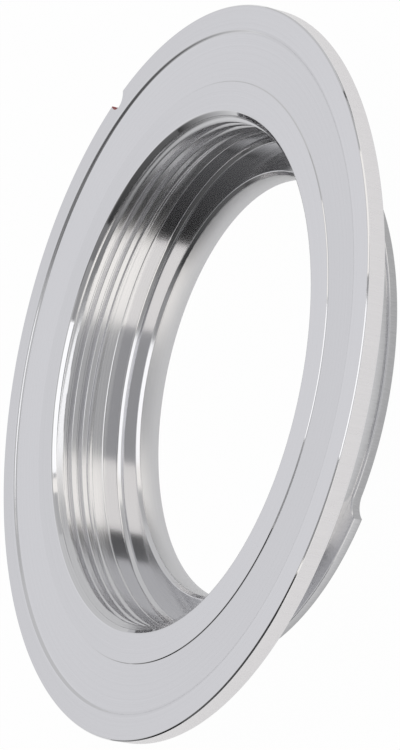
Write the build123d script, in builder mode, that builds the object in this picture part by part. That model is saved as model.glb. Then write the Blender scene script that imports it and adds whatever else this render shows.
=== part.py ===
from build123d import *
import os

# One-piece lens mount adapter: a screw thread in front takes the lens, a three-lug bayonet behind
# locks into the camera body. It lies on its rear tube with the front face up, its axis on Z, z = 0
# at the rear end, and the index notch in the rim points along +Y. All sizes are in millimetres.

# Bore, from the front to the rear
THREAD_D = 42.0             # full diameter of the lens thread
THREAD_RUN = 3.75           # threaded length behind the lead-in cone
LEAD_IN = 0.35              # 45-degree cone from the lens seat down to the full thread diameter
BORE_STEP = 0.5             # plain bore behind the thread, in from the full thread diameter
SHOULDER_W = 3.1            # step from the plain bore in to the rear opening
SHOULDER_CORNER = 0.3       # slope left in the corner between bore and shoulder
LIP_T = 2.1                 # shoulder to rear end
LIP_CHAMFER = 0.3           # edge of the opening at the shoulder

# Flange
FLANGE_D = 59.9             # outside of the rim
FLANGE_T = 1.5              # rim thickness
FRONT_CHAMFER = 0.1         # edge of the rim towards the lens
BACK_CHAMFER = 0.1          # edge of the rim towards the camera
BAND_W = 2.05               # raised outer band of the front face
BAND_STEP = 0.22            # 45-degree step from the band down to the recessed face
RECESS_DEPTH = 0.42         # recessed face where it meets the lens seat, below the band
SEAT_W = 2.35               # lens seat around the mouth of the bore
SEAT_RISE = 0.07            # 45-degree step from the recessed face up to the lens seat

# Half-round index notch, cut straight through the rim
NOTCH_W = 2.1
NOTCH_DEPTH = 1.05

# Bayonet
COLLAR_WALL = 0.85          # collar that centres the ring in the camera, outside the thread
NECK_WALL = 0.55            # neck between collar and lugs, outside the plain bore
LUG_GAP = 5.85              # flange back to the bearing face of the lugs
PLATE_STEP = 0.25           # bayonet plate beyond the neck
PLATE_T = 0.8
LUG_REACH = 1.25            # lugs beyond the plate
LUG_COUNT = 3
LUG_ANGLE = 45.0            # each lug, between the cutter's stops at its two ends
FIRST_LUG_ANGLE = -82.8     # middle of the first lug, from +X towards +Y
GAP_CUTTER_D = 2.9          # end mill that cuts the gaps between the lugs
EDGE_BREAK = 0.1            # edges of the bayonet plate

# Rear tube, behind the bayonet plate
REAR_STEP = 1.2             # in from the neck
REAR_RUN = 0.55
REAR_CHAMFER = 0.15

# Radii
thread_r = THREAD_D / 2
mouth_r = thread_r + LEAD_IN
seat_r = mouth_r + SEAT_W
flange_r = FLANGE_D / 2
band_in_r = flange_r - BAND_W
bore_r = thread_r - BORE_STEP
lip_r = bore_r - SHOULDER_W
collar_r = thread_r + COLLAR_WALL
neck_r = bore_r + NECK_WALL
plate_r = neck_r + PLATE_STEP
lug_r = plate_r + LUG_REACH
rear_r = neck_r - REAR_STEP

# Heights above the rear end
plate_z = REAR_RUN
neck_z = plate_z + PLATE_T
flange_z = neck_z + LUG_GAP
front_z = flange_z + FLANGE_T
recess_z = front_z - RECESS_DEPTH
seat_z = recess_z + SEAT_RISE
thread_top_z = seat_z - LEAD_IN
thread_end_z = thread_top_z - THREAD_RUN
bore_z = thread_end_z - BORE_STEP

# The gap cutter runs on an arc just outside the plate, and leaves a round hollow at each lug's foot
gap_path_r = plate_r + GAP_CUTTER_D / 2
gap_angle = 360 / LUG_COUNT - LUG_ANGLE

# Centre of the notch's round bottom
notch_y = flange_r - NOTCH_DEPTH + NOTCH_W / 2

with BuildPart() as adapter_ring:
    # Bayonet plate with its lugs
    with BuildSketch(Plane.XY.offset(plate_z)):
        Circle(lug_r)
        with BuildLine(mode=Mode.PRIVATE) as gap_path:
            CenterArc((0, 0), gap_path_r, FIRST_LUG_ANGLE + LUG_ANGLE / 2, gap_angle)
        with PolarLocations(0, LUG_COUNT):
            SlotArc(gap_path.edge(), height=GAP_CUTTER_D, mode=Mode.SUBTRACT)
    extrude(amount=PLATE_T)
    chamfer(adapter_ring.faces().filter_by(Axis.Z).edges(), length=EDGE_BREAK)

    # Turned outside: rear tube, neck, collar, flange and its stepped front face
    with BuildSketch(Plane.XZ):
        with BuildLine():
            Polyline(
                (0, 0),
                (rear_r - REAR_CHAMFER, 0),
                (rear_r, REAR_CHAMFER),
                (rear_r, plate_z),
                (neck_r, plate_z),
                (neck_r, bore_z),
                (collar_r, bore_z),
                (collar_r, flange_z),
                (flange_r - BACK_CHAMFER, flange_z),
                (flange_r, flange_z + BACK_CHAMFER),
                (flange_r, front_z - FRONT_CHAMFER),
                (flange_r - FRONT_CHAMFER, front_z),
                (band_in_r, front_z),
                (band_in_r - BAND_STEP, front_z - BAND_STEP),
                (seat_r + SEAT_RISE, recess_z),
                (seat_r, seat_z),
                (0, seat_z),
                close=True,
            )
        make_face()
    revolve(axis=Axis.Z)

    # Bored inside: lead-in cone, thread, plain bore, shoulder and rear opening
    with BuildSketch(Plane.XZ):
        with BuildLine():
            Polyline(
                (0, seat_z),
                (mouth_r, seat_z),
                (thread_r, thread_top_z),
                (thread_r, thread_end_z),
                (bore_r, bore_z),
                (bore_r, LIP_T + SHOULDER_CORNER),
                (bore_r - SHOULDER_CORNER, LIP_T),
                (lip_r + LIP_CHAMFER, LIP_T),
                (lip_r, LIP_T - LIP_CHAMFER),
                (lip_r, 0),
                (0, 0),
                close=True,
            )
        make_face()
    revolve(axis=Axis.Z, mode=Mode.SUBTRACT)

    # Index notch in the rim
    with BuildSketch(Plane.XY.offset(flange_z)):
        with Locations((0, notch_y)):
            Circle(NOTCH_W / 2)
            Rectangle(NOTCH_W, flange_r, align=(Align.CENTER, Align.MIN))
    extrude(amount=FLANGE_T, mode=Mode.SUBTRACT)

adapter_ring.part.label = "adapter_ring"
os.makedirs("parts", exist_ok=True)
export_step(adapter_ring.part, "parts/adapter_ring.step")
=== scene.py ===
import math

import bpy
import numpy as np
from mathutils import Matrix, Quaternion, Vector


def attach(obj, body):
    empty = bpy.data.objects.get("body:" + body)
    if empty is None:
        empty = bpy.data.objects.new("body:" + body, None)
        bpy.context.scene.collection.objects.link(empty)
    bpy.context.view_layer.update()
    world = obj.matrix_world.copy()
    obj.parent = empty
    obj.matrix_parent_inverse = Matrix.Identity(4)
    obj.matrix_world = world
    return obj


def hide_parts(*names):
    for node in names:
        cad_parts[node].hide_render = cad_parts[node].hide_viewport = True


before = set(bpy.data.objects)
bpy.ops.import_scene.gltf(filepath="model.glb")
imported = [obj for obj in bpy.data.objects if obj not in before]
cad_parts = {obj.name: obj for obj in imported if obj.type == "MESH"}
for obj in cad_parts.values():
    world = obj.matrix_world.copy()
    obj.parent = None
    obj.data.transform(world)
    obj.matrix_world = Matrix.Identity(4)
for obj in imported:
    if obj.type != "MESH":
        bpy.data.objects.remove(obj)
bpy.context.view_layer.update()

# A chrome-plated lens mount adapter: one turned and milled ring, dressed over its CAD solid. Sizes are in
# millimetres, heights are above the ring's rear end, and angles run from +X towards +Y, as in the part's
# source.

MM = 0.001
TURN = 2 * math.pi

# Radii
THREAD_R = 21.0
MOUTH_R = 21.35
SEAT_R = 23.7
SEAT_FOOT_R = 23.77
BAND_FOOT_R = 27.68
BAND_IN_R = 27.9
FLANGE_R = 29.95
BORE_R = 20.5
LIP_R = 17.4
COLLAR_R = 21.85
NECK_R = 21.05
PLATE_R = 21.3
LUG_R = 22.55
REAR_R = 19.85

# Heights
LIP_Z = 2.1
PLATE_Z = 0.55
NECK_Z = 1.35
BORE_Z = 3.75
THREAD_END_Z = 4.25
FLANGE_Z = 7.2
THREAD_TOP_Z = 8.0
RECESS_Z = 8.28
SEAT_Z = 8.35
BAND_FOOT_Z = 8.48
FRONT_Z = 8.7

# Edges cut at 45 degrees
REAR_CHAMFER = 0.15
EDGE_BREAK = 0.1
BACK_CHAMFER = 0.1
FRONT_CHAMFER = 0.1
SHOULDER_CORNER = 0.3
LIP_CHAMFER = 0.3

# Lugs, and the cutter that leaves a round hollow at each end of them
LUG_COUNT = 3
FIRST_LUG_ANGLE = math.radians(-82.8)
LUG_ANGLE = math.radians(45.0)
CUTTER_R = 1.45
CUTTER_PATH_R = PLATE_R + CUTTER_R

# Half-round index notch in the rim, centred on the rim's edge. The section's points within this reach of
# the rim make its wall.
NOTCH_ANGLE = math.radians(90.0)
NOTCH_R = 1.05
RIM_REACH = 0.3

# Lens thread, right-handed: a ridge that stands in from the full diameter. The ease is the share of its
# flanks' shape that is rounded off.
PITCH = 1.0
RIDGE_H = 0.42
RIDGE_FOOT = 0.905
RIDGE_CREST = 0.42
FLANK_EASE = 0.55

# Corners past this angle stay sharp in the shading, and heights closer than this count as the same
SHARP_ANGLE = math.radians(35.0)
TOLERANCE = 0.001


def linear(hex_colour):
    """The sRGB hex colour as linear red, green, blue and alpha."""
    srgb = np.array([int(hex_colour[i:i + 2], 16) for i in (1, 3, 5)]) / 255
    rgb = np.where(srgb <= 0.04045, srgb / 12.92, ((srgb + 0.055) / 1.055) ** 2.4)
    return (*rgb.tolist(), 1.0)


def node(tree, kind, links=(), **settings):
    """Adds one node: settings are its properties and input values, links are pairs of an input and the
    output socket that feeds it."""
    made = tree.nodes.new(kind)
    for name, value in settings.items():
        if hasattr(made, name):
            setattr(made, name, value)
        else:
            made.inputs[name.replace("_", " ")].default_value = value
    for socket, source in links:
        tree.links.new(made.inputs[socket], source)
    return made


def new_material(name):
    """A material with an empty node tree, and that tree."""
    material = bpy.data.materials.new(name)
    material.use_nodes = True
    material.node_tree.nodes.clear()
    return material, material.node_tree


def add_mesh(name, points, faces, materials):
    """A mesh object at the origin from points in millimetres and their faces, shaded smooth except at
    sharp corners."""
    mesh = bpy.data.meshes.new(name)
    mesh.from_pydata(points * MM, [], faces)
    for material in materials:
        mesh.materials.append(material)
    mesh.shade_smooth()
    mesh.set_sharp_from_angle(angle=SHARP_ANGLE)
    mesh.update()
    made = bpy.data.objects.new(name, mesh)
    bpy.context.scene.collection.objects.link(made)
    return made


def grid_faces(rows, columns):
    """Quads of a grid closed in both directions: each joins a point, its neighbour in the next column, and
    the same two in the next row."""
    row = np.arange(rows)[:, None]
    column = np.arange(columns)[None, :]
    next_row = (row + 1) % rows
    next_column = (column + 1) % columns
    corners = (
        row * columns + column,
        row * columns + next_column,
        next_row * columns + next_column,
        next_row * columns + column,
    )
    return np.stack(corners, axis=-1).reshape(-1, 4)


def rounded_section(corners, steps):
    """The closed section's points: each corner (r, z, cut) becomes a parabola between the points that lie
    the cut's length along its two sides, with the corner as its control point."""
    corner = corners[:, :2]
    cut = corners[:, 2:3]
    before = np.roll(corner, 1, axis=0) - corner
    after = np.roll(corner, -1, axis=0) - corner
    start = corner + before / np.linalg.norm(before, axis=1, keepdims=True) * cut
    end = corner + after / np.linalg.norm(after, axis=1, keepdims=True) * cut
    k = np.linspace(0, 1, steps)[None, :, None]
    curve = (1 - k) ** 2 * start[:, None] + 2 * k * (1 - k) * corner[:, None] + k ** 2 * end[:, None]
    return curve.reshape(-1, 2)


def hollow(angle, path_r, cutter_r):
    """Radius of a round cutter's near side at an angle from its centre, the centre being on the circle
    path_r: the nearer crossing of that ray with the cutter's circle, and no limit beyond the cutter or on
    the far half of the ring."""
    reach = cutter_r ** 2 - (path_r * np.sin(angle)) ** 2
    near = path_r * np.cos(angle) - np.sqrt(np.maximum(reach, 0))
    return np.where((reach >= 0) & (np.abs(angle) < math.pi / 2), near, np.inf)


def from_middle(angle, middle):
    """Angle from a middle, wrapped to half a turn either side."""
    return (angle - middle + math.pi) % TURN - math.pi


# Corners of the ring's section in order, from the rear opening out round the flange and back down the bore:
# radius, height, length of the rounded edge, and the finish of the side that follows
BACK, BAYONET, RIM, FACE, EDGE, BORE, SHOULDER, LIP, PAINT = range(9)
SECTION = np.array([
    (LIP_R, 0.0, 0.05, BACK),
    (REAR_R - REAR_CHAMFER, 0.0, 0.03, BACK),
    (REAR_R, REAR_CHAMFER, 0.03, BAYONET),
    (REAR_R, PLATE_Z, 0.03, BAYONET),
    (LUG_R - EDGE_BREAK, PLATE_Z, 0.03, BAYONET),
    (LUG_R, PLATE_Z + EDGE_BREAK, 0.03, BAYONET),
    (LUG_R, NECK_Z - EDGE_BREAK, 0.03, BAYONET),
    (LUG_R - EDGE_BREAK, NECK_Z, 0.03, BAYONET),
    (NECK_R, NECK_Z, 0.03, BAYONET),
    (NECK_R, BORE_Z, 0.03, BAYONET),
    (COLLAR_R, BORE_Z, 0.05, BAYONET),
    (COLLAR_R, FLANGE_Z, 0.05, BACK),
    (FLANGE_R - BACK_CHAMFER, FLANGE_Z, 0.02, EDGE),
    (FLANGE_R, FLANGE_Z + BACK_CHAMFER, 0.02, RIM),
    (FLANGE_R, FRONT_Z - FRONT_CHAMFER, 0.02, EDGE),
    (FLANGE_R - FRONT_CHAMFER, FRONT_Z, 0.02, FACE),
    (BAND_IN_R, FRONT_Z, 0.11, FACE),
    (BAND_FOOT_R, BAND_FOOT_Z, 0.13, FACE),
    (SEAT_FOOT_R, RECESS_Z, 0.015, EDGE),
    (SEAT_R, SEAT_Z, 0.015, FACE),
    (MOUTH_R, SEAT_Z, 0.1, EDGE),
    (THREAD_R, THREAD_TOP_Z, 0.03, BORE),
    (THREAD_R, THREAD_END_Z, 0.03, BORE),
    (BORE_R, BORE_Z, 0.05, SHOULDER),
    (BORE_R, LIP_Z + SHOULDER_CORNER, 0.08, SHOULDER),
    (BORE_R - SHOULDER_CORNER, LIP_Z, 0.08, SHOULDER),
    (LIP_R + LIP_CHAMFER, LIP_Z, 0.05, SHOULDER),
    (LIP_R, LIP_Z - LIP_CHAMFER, 0.05, LIP),
])

# The corners among these, first and last, that follow the lugs' outline
FIRST_LUG_CORNER = 4
LAST_LUG_CORNER = 7

# Points to a rounded corner, columns all round the ring and to half a hollow, and the gap that is kept
# between the two kinds of column
CORNER_STEPS = 4
PLAIN_COLUMNS = 720
HOLLOW_COLUMNS = 14
COLUMN_GAP = math.radians(0.12)


def ring_columns():
    """Angles of the ring's columns: even all round, and closer in the notch and at the ends of the lugs,
    where the cutter's side is divided evenly round the cutter."""
    swing = np.sin(np.linspace(-math.pi / 2, math.pi / 2, 2 * HOLLOW_COLUMNS + 1))
    notch = NOTCH_ANGLE + np.arcsin(NOTCH_R / FLANGE_R * swing)
    lug_middles = FIRST_LUG_ANGLE + np.arange(LUG_COUNT) * TURN / LUG_COUNT
    ends = (lug_middles[:, None] + LUG_ANGLE / 2 * np.array([[-1, 1]])).reshape(-1)
    feet = ends[:, None] + np.arcsin(CUTTER_R / CUTTER_PATH_R * swing)[None, :]
    close = np.concatenate((notch, feet.reshape(-1))) % TURN
    even = np.linspace(0, TURN, PLAIN_COLUMNS, endpoint=False)
    apart = np.abs(from_middle(even[:, None], close[None, :])).min(axis=1)
    return np.sort(np.concatenate((close, even[apart > COLUMN_GAP])))


def lug_outline(angle):
    """Outline of the bayonet plate: the lug's radius, less what the gap cutter takes on its path from the
    end of one lug to the next, where it cuts in to the plate's radius."""
    lug = np.round((angle - FIRST_LUG_ANGLE) / (TURN / LUG_COUNT))
    inside_end = LUG_ANGLE / 2 - np.abs(from_middle(angle, FIRST_LUG_ANGLE + lug * TURN / LUG_COUNT))
    foot = hollow(np.maximum(inside_end, 0), CUTTER_PATH_R, CUTTER_R)
    return np.minimum(LUG_R, foot)


def keep_flats(mesh, columns):
    """Marks the edges round the ring as sharp where a rounded corner meets a plain side, so that each side
    is shaded as flat along the section as it is."""
    ends = np.empty(len(mesh.edges) * 2, np.int32)
    mesh.edges.foreach_get("vertices", ends)
    row = ends.reshape(-1, 2) // columns
    at_corner_end = np.isin(row[:, 0] % CORNER_STEPS, (0, CORNER_STEPS - 1))
    sharp = np.empty(len(mesh.edges), bool)
    mesh.attributes["sharp_edge"].data.foreach_get("value", sharp)
    sharp |= (row[:, 0] == row[:, 1]) & at_corner_end
    mesh.attributes["sharp_edge"].data.foreach_set("value", sharp)
    mesh.update()


def make_ring(materials):
    """The ring: its rounded section turned round the axis, with the plate's rows following the lugs'
    outline and the flange's rows cut back to the notch."""
    section = rounded_section(SECTION[:, :3], CORNER_STEPS)
    angle = ring_columns()
    corner_of_row = np.repeat(np.arange(len(SECTION)), CORNER_STEPS)
    on_plate = (corner_of_row >= FIRST_LUG_CORNER) & (corner_of_row <= LAST_LUG_CORNER)
    r = section[:, :1] - np.where(on_plate[:, None], LUG_R - lug_outline(angle)[None, :], 0)
    notch = hollow(from_middle(angle, NOTCH_ANGLE), FLANGE_R, NOTCH_R)
    on_flange = section[:, 1:] > FLANGE_Z - TOLERANCE
    r = np.where(on_flange, np.minimum(r, notch[None, :]), r)
    z = np.broadcast_to(section[:, 1:], r.shape)
    points = np.stack((r * np.cos(angle), r * np.sin(angle), z), axis=-1).reshape(-1, 3)
    finish = np.repeat(SECTION[corner_of_row, 3:].astype(np.int32), len(angle), axis=1)
    in_notch = np.isfinite(notch) & np.isfinite(np.roll(notch, -1))
    below_face = section[:, 1] < FRONT_Z - TOLERANCE
    wall = below_face & on_flange[:, 0] & (section[:, 0] > FLANGE_R - RIM_REACH)
    finish = np.where(wall[:, None] & in_notch[None, :], PAINT, finish)
    made = add_mesh("adapter_ring_body", points, grid_faces(len(section), len(angle)), materials)
    made.data.polygons.foreach_set("material_index", finish.reshape(-1))
    keep_flats(made.data, len(angle))
    return made


# The thread's first groove breaks through the lead-in cone at this angle, where the ridge's foot meets the
# cone, and turns are counted from there, upwards. The groove gets shallower over its last turns, as the
# tool is drawn out.
THREAD_START_ANGLE = math.radians(164.15)
FIRST_TURN = 0.9
LAST_TURN = -4.25
DRAW_OUT_TURN = -1.2
DRAW_OUT_TURNS = 1.4

# The ridge is let into the wall a little, so that the wall itself is the floor of the groove at its full
# depth. Its back lies deeper in the wall, and its top stays a little under the seat.
RIDGE_SINK = 0.012
RIDGE_BACK = 0.03
RIDGE_TOP_GAP = 0.06

# Steps across the ridge, and along one turn
RIDGE_STEPS = 24
STEPS_PER_TURN = 240


def smooth_step(value):
    """Eases from 0 to 1 with level ends: three times the square less twice the cube, between 0 and 1."""
    k = np.clip(value, 0, 1)
    return k ** 2 * (3 - 2 * k)


def make_thread(material):
    """The thread: a ridge with half a groove on each side, carried on a right-hand helix. Its height over
    the wall is a trapezoid in the offset along the axis, with eased corners, standing on the groove's floor
    and held under the lead-in cone carried on inwards. A back inside the wall closes the section."""
    steps = int(STEPS_PER_TURN * (FIRST_TURN - LAST_TURN))
    turn = np.linspace(FIRST_TURN, LAST_TURN, steps)[:, None]
    angle = THREAD_START_ANGLE + turn * TURN
    middle_z = THREAD_TOP_Z - RIDGE_FOOT / 2 + turn * PITCH
    upper = np.minimum(PITCH / 2, SEAT_Z - RIDGE_TOP_GAP - middle_z)
    offset = -PITCH / 2 + np.linspace(0, 1, RIDGE_STEPS + 1)[None, :] * (upper + PITCH / 2)
    z = middle_z + offset
    flank = np.clip((RIDGE_FOOT / 2 - np.abs(offset)) / ((RIDGE_FOOT - RIDGE_CREST) / 2), 0, 1)
    ridge = (1 - FLANK_EASE) * flank + FLANK_EASE * smooth_step(flank)
    groove_turn = np.where(offset < 0, turn, turn + 1)
    floor_h = RIDGE_H * smooth_step((DRAW_OUT_TURN - groove_turn) / DRAW_OUT_TURNS)
    height = np.minimum(floor_h + (RIDGE_H - floor_h) * ridge, THREAD_TOP_Z - z) - RIDGE_SINK
    edge_z = z[:, [-1, 0]]
    back = THREAD_R + RIDGE_BACK + np.maximum(edge_z - THREAD_TOP_Z, 0)
    r = np.concatenate((THREAD_R - height, back), axis=1)
    z = np.concatenate((z, edge_z), axis=1)
    points = np.stack((r * np.cos(angle), r * np.sin(angle), z), axis=-1)
    rows, columns = r.shape
    sides = grid_faces(rows, columns)[:(rows - 1) * columns]
    ends = [list(range(columns)), list(range(rows * columns - 1, (rows - 1) * columns - 1, -1))]
    return add_mesh("lens_thread", points.reshape(-1, 3), sides.tolist() + ends, [material])


# Noise: its finer layers in the tool's marks and in the enamel, and the range that most of it lies in
MARK_DETAIL = 3.0
MARK_RANGE = (0.3, 0.7)
ENAMEL_DETAIL = 2.0
ENAMEL_RANGE = (0.35, 0.65)

# Enamel: size of its thin patches, its colours where it is thick and thin, and its roughness
ENAMEL_PATCH = 0.5
ENAMEL_COLOURS = ("#8f1417", "#b83a38")
ENAMEL_ROUGHNESS = 0.35


def ring_marks(tree, spacing):
    """Marks that a lathe tool leaves round the axis: noise along the sum of radius and height, one wave to
    the spacing in millimetres."""
    place = node(tree, "ShaderNodeTexCoord").outputs["Object"]
    flat = node(tree, "ShaderNodeVectorMath", operation="MULTIPLY", links=[(0, place)])
    flat.inputs[1].default_value = (1, 1, 0)
    radius = node(tree, "ShaderNodeVectorMath", operation="LENGTH", links=[(0, flat.outputs["Vector"])])
    height = node(tree, "ShaderNodeSeparateXYZ", links=[("Vector", place)])
    along = node(tree, "ShaderNodeMath", operation="ADD", links=[
        (0, radius.outputs["Value"]),
        (1, height.outputs["Z"]),
    ])
    waves = 1 / (spacing * MM)
    marks = node(tree, "ShaderNodeTexNoise", noise_dimensions="1D", Scale=waves, Detail=MARK_DETAIL, links=[
        ("W", along.outputs["Value"]),
    ])
    return marks.outputs["Fac"]


def stroke_marks(tree, width, length):
    """Marks that a brush or a cutter leaves along the axis: noise on the place, drawn out along the axis,
    with strokes of about the width and length in millimetres."""
    place = node(tree, "ShaderNodeTexCoord").outputs["Object"]
    drawn_out = node(tree, "ShaderNodeVectorMath", operation="MULTIPLY", links=[(0, place)])
    drawn_out.inputs[1].default_value = (1 / (width * MM), 1 / (width * MM), 1 / (length * MM))
    marks = node(tree, "ShaderNodeTexNoise", Scale=1.0, Detail=MARK_DETAIL, links=[
        ("Vector", drawn_out.outputs["Vector"]),
    ])
    return marks.outputs["Fac"]


def chrome_plate(name, colours, roughness, marks, depth):
    """Chrome plate over brass: a hard bright metal, slightly blue against silver. Its gloss comes from how
    smooth the brass under the plating was, so the tool's marks, with their depth in millimetres, still show
    through: they vary the roughness between two values, and the colour a little, where they hold a film of
    grime."""
    material, tree = new_material(name)
    pattern, *sizes = marks
    height = pattern(tree, *sizes)
    gloss = node(
        tree,
        "ShaderNodeMapRange",
        From_Min=MARK_RANGE[0],
        From_Max=MARK_RANGE[1],
        To_Min=roughness[0],
        To_Max=roughness[1],
        links=[("Value", height)],
    )
    tone = node(tree, "ShaderNodeValToRGB", links=[("Fac", height)])
    for element, position, colour in zip(tone.color_ramp.elements, MARK_RANGE, colours):
        element.position = position
        element.color = linear(colour)
    grain = node(tree, "ShaderNodeBump", Strength=1.0, Distance=depth * MM, links=[("Height", height)])
    shader = node(tree, "ShaderNodeBsdfPrincipled", Metallic=1.0, links=[
        ("Base Color", tone.outputs["Color"]),
        ("Roughness", gloss.outputs["Result"]),
        ("Normal", grain.outputs["Normal"]),
    ])
    node(tree, "ShaderNodeOutputMaterial", links=[("Surface", shader.outputs["BSDF"])])
    return material


def red_enamel():
    """Red enamel, dabbed into the notch with a brush: a glossy red film, thinner and paler in places."""
    material, tree = new_material("red_enamel_dabbed")
    place = node(tree, "ShaderNodeTexCoord").outputs["Object"]
    patches = 1 / (ENAMEL_PATCH * MM)
    film = node(tree, "ShaderNodeTexNoise", Scale=patches, Detail=ENAMEL_DETAIL, links=[("Vector", place)])
    tone = node(tree, "ShaderNodeValToRGB", links=[("Fac", film.outputs["Fac"])])
    for element, position, colour in zip(tone.color_ramp.elements, ENAMEL_RANGE, ENAMEL_COLOURS):
        element.position = position
        element.color = linear(colour)
    shader = node(tree, "ShaderNodeBsdfPrincipled", Roughness=ENAMEL_ROUGHNESS, links=[
        ("Base Color", tone.outputs["Color"]),
    ])
    node(tree, "ShaderNodeOutputMaterial", links=[("Surface", shader.outputs["BSDF"])])
    return material


# Chrome finishes, in the order that the section's finishes are named in: name, colours in and between the
# marks, roughness there, the marks with their sizes, and their depth. The finest marks are drawn about
# 0.1 mm apart, coarser than a keen tool leaves them, so that they show.
FINISHES = (
    # Faced on the lathe behind the flange: fine rings that break up the gloss
    ("chrome_plate_turned_back", ("#dcdcde", "#e6e6e8"), (0.16, 0.26), (ring_marks, 0.12), 0.0004),
    # Sides of the bayonet, cut by an end mill: upright cutter marks, a duller gloss
    ("chrome_plate_milled", ("#dcdcde", "#e4e4e6"), (0.13, 0.21), (stroke_marks, 0.1, 0.6), 0.0001),
    # Rim, brushed across: short strokes along the axis give a soft sheen with a fine grain
    ("chrome_plate_cross_brushed", ("#e5e3e4", "#eae8e9"), (0.26, 0.34), (stroke_marks, 0.14, 2.5), 0.00006),
    # Front face, turned and polished: an even satin mirror with very fine rings
    ("chrome_plate_satin_turned", ("#e3e3e6", "#e6e6e9"), (0.12, 0.18), (ring_marks, 0.15), 0.0001),
    # Edges and the lead-in cone, cut last with a keen tool: a clear mirror
    ("chrome_plate_bright_cut", ("#e4e4e7", "#e8e8ea"), (0.04, 0.08), (ring_marks, 0.2), 0.00005),
    # Thread, turned: bright, but the tool's fine rings spread the reflections
    ("chrome_plate_bright_bored", ("#e1e1e4", "#e6e6e8"), (0.19, 0.25), (ring_marks, 0.09), 0.0001),
    # Plain bore and shoulder, turned with a finer cut: a mirror that is only a little blurred
    ("chrome_plate_fine_bored", ("#e1e1e4", "#e6e6e8"), (0.1, 0.15), (ring_marks, 0.09), 0.00002),
    # Rear opening, left as cut: an even pale satin
    ("chrome_plate_satin_bored", ("#e6e6e8", "#eaeaec"), (0.36, 0.46), (ring_marks, 0.1), 0.0003),
)

ring = make_ring([chrome_plate(*finish) for finish in FINISHES] + [red_enamel()])
thread = make_thread(ring.data.materials[BORE])
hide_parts("adapter_ring")
for piece in (ring, thread):
    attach(piece, "root")

# Stage: a white paper floor, and a tent of cards round the ring that only shows in the metal. The floor
# lies a hair under the ring, and a disc of it inside the rear opening is hidden from the metal.
FLOOR_R = 900.0
FLOOR_HOLE_R = 15.5
FLOOR_MIDDLE_R = 0.01
FLOOR_Z = -0.02
FLOOR_SIDES = 96
TENT_R = 600.0
CARD_STEP = math.radians(3.0)
CAMERA_AZIMUTH = math.radians(-42.87)

# Cards of the tent: name, azimuth from the camera's in degrees (from, to), elevation (from, to), colour,
# and brightness at the lower edge (from, to) and at the upper edge (from, to), or one for the whole card
NEUTRAL = "#ffffff"
WARM = "#fffcf7"
COOL = "#fdfdff"
TENT = (
    ("card_dark_side", -130, -62, -80, 20, NEUTRAL, 0.02),
    ("card_dark_side_high", -130, -62, 20, 54, NEUTRAL, (0.14, 0.02, 0.12, 0.02)),
    ("card_dusk_side_low", -165, -130, -80, -10, NEUTRAL, (0.1, 0.035, 0.1, 0.035)),
    ("card_dusk_side", -165, -130, -10, 54, NEUTRAL, (0.85, 0.035, 0.85, 0.035)),
    ("card_white_left", -62, -16, -80, 50, WARM, 1.12),
    ("card_camera_side", -16, 49, -80, 30, NEUTRAL, 0.46),
    ("card_camera_side_high", -16, 49, 30, 52, NEUTRAL, 0.3),
    ("card_white_right", 49, 87, -80, 54, WARM, 1.08),
    ("card_dark_strip", 87, 105, -80, 30, NEUTRAL, (0.035, 0.12, 0.035, 0.12)),
    ("card_dark_strip_high", 87, 105, 30, 54, NEUTRAL, 0.5),
    ("card_grey_side", 105, 161, -80, 0, NEUTRAL, (0.34, 0.5, 0.34, 0.5)),
    ("card_grey_side_high", 105, 161, 0, 54, NEUTRAL, 0.62),
    ("card_dusk_behind", 161, 195, -80, 0, NEUTRAL, (0.5, 0.1, 0.5, 0.1)),
    ("card_pale_behind_low", 161, 195, 0, 22, COOL, 0.72),
    ("card_pale_behind", 161, 195, 22, 34, COOL, (0.74, 0.72, 0.84, 0.8)),
    ("card_pale_behind_high", 161, 195, 34, 60, COOL, 0.82),
    ("softbox_above", -20, 78, 54, 78, NEUTRAL, 1.25),
    ("card_dim_above", -165, -60, 54, 78, NEUTRAL, 0.22),
    ("card_half_above", -60, -20, 54, 78, NEUTRAL, 0.35),
    ("card_grey_above", 78, 195, 54, 78, NEUTRAL, 0.55),
    ("card_cap", -180, 180, 78, 90, NEUTRAL, 0.6),
)


def make_card(name, azimuth, elevation, colour, brightness):
    """A card of the tent: a patch of a sphere round the ring, between two azimuths and two elevations, that
    is hidden from the camera. Its glow is held per point, and runs evenly between its four corners'
    brightness."""
    columns = max(2, int((azimuth[1] - azimuth[0]) / CARD_STEP) + 1)
    rows = max(2, int((elevation[1] - elevation[0]) / CARD_STEP) + 1)
    across = np.linspace(0, 1, columns)[None, :]
    rise = np.linspace(0, 1, rows)[:, None]
    a = CAMERA_AZIMUTH + azimuth[0] + across * (azimuth[1] - azimuth[0])
    e = elevation[0] + rise * (elevation[1] - elevation[0])
    x = np.cos(e) * np.cos(a)
    y = np.cos(e) * np.sin(a)
    z = np.broadcast_to(np.sin(e), x.shape)
    points = np.stack((x, y, z), axis=-1).reshape(-1, 3) * TENT_R
    index = np.arange(rows * columns).reshape(rows, columns)
    corners = (index[:-1, :-1], index[1:, :-1], index[1:, 1:], index[:-1, 1:])
    faces = np.stack(corners, axis=-1).reshape(-1, 4)
    low_from, low_to, high_from, high_to = np.broadcast_to(brightness, 4)
    low = low_from + across * (low_to - low_from)
    high = high_from + across * (high_to - high_from)
    glow = (1 - rise) * low + rise * high
    material, tree = new_material(name)
    material.cycles.emission_sampling = "NONE"
    held = node(tree, "ShaderNodeAttribute", attribute_name="glow")
    light = node(tree, "ShaderNodeEmission", Color=linear(colour), links=[
        ("Strength", held.outputs["Fac"]),
    ])
    node(tree, "ShaderNodeOutputMaterial", links=[("Surface", light.outputs["Emission"])])
    card = add_mesh(name, points, faces, [material])
    card.data.attributes.new("glow", "FLOAT", "POINT").data.foreach_set("value", glow.reshape(-1))
    card.visible_camera = False
    card.visible_shadow = False


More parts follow.
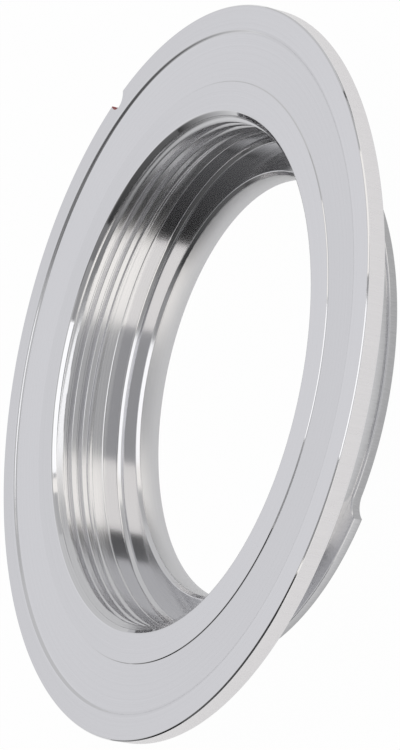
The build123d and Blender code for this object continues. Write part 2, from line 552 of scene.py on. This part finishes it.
for card_name, from_a, to_a, from_e, to_e, *look in TENT:
    make_card(card_name, np.radians((from_a, to_a)), np.radians((from_e, to_e)), *look)

# Paper: its colour, the share of plain white in the picture, and how the metal sees it, as radius and
# brightness of a painted shade for the ring's shadow, within the radius that the shade is spread over
PAPER = "#f4f4f4"
PAPER_WHITE = 0.98
PAINTED_SHADE_R = 60.0
PAINTED_SHADE = ((18.0, 0.66), (20.5, 0.5), (23.2, 0.5), (24.6, 0.74), (44.0, 0.86))


def white_paper_with_painted_shade():
    """White paper: near white in the picture, with a little of the ring's shadow. The metal sees a glow in
    its
    place, with painted shade: somewhat darker, and darker still under the flange, where the ring's shadow
    would fall. From below it is see-through, so that the ring's back can be looked at."""
    material, tree = new_material("white_paper_with_painted_shade")
    material.cycles.emission_sampling = "NONE"
    light_path = node(tree, "ShaderNodeLightPath")
    place = node(tree, "ShaderNodeTexCoord").outputs["Object"]
    radius = node(tree, "ShaderNodeVectorMath", operation="LENGTH", links=[(0, place)])
    along = node(tree, "ShaderNodeMapRange", From_Min=0.0, From_Max=PAINTED_SHADE_R * MM, links=[
        ("Value", radius.outputs["Value"]),
    ])
    shade = node(tree, "ShaderNodeValToRGB", links=[("Fac", along.outputs["Result"])])
    stops = shade.color_ramp.elements
    while len(stops) < len(PAINTED_SHADE):
        stops.new(0.5)
    for stop, (shade_r, brightness) in zip(stops, PAINTED_SHADE):
        stop.position = shade_r / PAINTED_SHADE_R
        stop.color = (brightness, brightness, brightness, 1.0)
    paper = node(tree, "ShaderNodeBsdfDiffuse", Color=linear(PAPER))
    white_glow = node(tree, "ShaderNodeEmission", Strength=1.0)
    # Painted shade: the metal sees this glow, not the lit paper, dimmed by radius as a painted shadow of the
    # ring
    painted_shade_glow = node(tree, "ShaderNodeEmission", Strength=1.0, links=[("Color", shade.outputs["Color"])])
    in_picture = node(tree, "ShaderNodeMixShader", Fac=PAPER_WHITE, links=[
        (1, paper.outputs["BSDF"]),
        (2, white_glow.outputs["Emission"]),
    ])
    in_metal = node(tree, "ShaderNodeMixShader", links=[
        ("Fac", light_path.outputs["Is Glossy Ray"]),
        (1, paper.outputs["BSDF"]),
        (2, painted_shade_glow.outputs["Emission"]),
    ])
    from_above = node(tree, "ShaderNodeMixShader", links=[
        ("Fac", light_path.outputs["Is Camera Ray"]),
        (1, in_metal.outputs["Shader"]),
        (2, in_picture.outputs["Shader"]),
    ])
    side = node(tree, "ShaderNodeNewGeometry")
    clear = node(tree, "ShaderNodeBsdfTransparent")
    both_sides = node(tree, "ShaderNodeMixShader", links=[
        ("Fac", side.outputs["Backfacing"]),
        (1, from_above.outputs["Shader"]),
        (2, clear.outputs["BSDF"]),
    ])
    node(tree, "ShaderNodeOutputMaterial", links=[("Surface", both_sides.outputs["Shader"])])
    return material


def make_floor(name, inner_r, outer_r, material):
    """A flat ring of floor between two radii, facing up."""
    a = np.linspace(0, TURN, FLOOR_SIDES, endpoint=False)[None, :]
    r = np.array([[inner_r], [outer_r]])
    x = r * np.cos(a)
    points = np.stack((x, r * np.sin(a), np.full(x.shape, FLOOR_Z)), axis=-1).reshape(-1, 3)
    faces = grid_faces(2, FLOOR_SIDES)[:FLOOR_SIDES, ::-1]
    made = add_mesh(name, points, faces, [material])
    return made


floor_material = white_paper_with_painted_shade()
make_floor("floor", FLOOR_HOLE_R, FLOOR_R, floor_material)
floor_inside = make_floor("floor_inside", FLOOR_MIDDLE_R, FLOOR_HOLE_R, floor_material)
floor_inside.visible_glossy = False

# World: white to the camera, and a dim grey to the ring where the tent leaves a gap
WORLD_DIM = 0.4
world = bpy.data.worlds.new("studio")
bpy.context.scene.world = world
world.use_nodes = True
world_tree = world.node_tree
world_tree.nodes.clear()
world_path = node(world_tree, "ShaderNodeLightPath")
dim = node(world_tree, "ShaderNodeBackground", Strength=WORLD_DIM)
white = node(world_tree, "ShaderNodeBackground", Color=linear(NEUTRAL), Strength=1.0)
world_shader = node(world_tree, "ShaderNodeMixShader", links=[
    ("Fac", world_path.outputs["Is Camera Ray"]),
    (1, dim.outputs["Background"]),
    (2, white.outputs["Background"]),
])
node(world_tree, "ShaderNodeOutputWorld", links=[("Surface", world_shader.outputs["Shader"])])

# Camera: its azimuth is given with the stage, because the cards are placed from it
CAMERA_ELEVATION = math.radians(27.21)
CAMERA_DISTANCE = 245.1
CAMERA_ROLL = math.radians(-78.07)
CAMERA_AIM = Vector((4.22, -3.81, FRONT_Z))
FOCAL_LENGTH = 149.55
CLIP_START = 10.0

towards_camera = Vector((
    math.cos(CAMERA_AZIMUTH) * math.cos(CAMERA_ELEVATION),
    math.sin(CAMERA_AZIMUTH) * math.cos(CAMERA_ELEVATION),
    math.sin(CAMERA_ELEVATION),
))
camera_data = bpy.data.cameras.new("camera")
camera_data.lens = FOCAL_LENGTH
camera_data.clip_start = CLIP_START * MM
camera = bpy.data.objects.new("camera", camera_data)
bpy.context.scene.collection.objects.link(camera)
camera.rotation_mode = "QUATERNION"
camera.location = (CAMERA_AIM + towards_camera * CAMERA_DISTANCE) * MM
roll = Quaternion((0, 0, 1), CAMERA_ROLL)
camera.rotation_quaternion = (-towards_camera).to_track_quat("-Z", "Y") @ roll
bpy.context.scene.camera = camera
bpy.context.scene.view_settings.view_transform = "Standard"
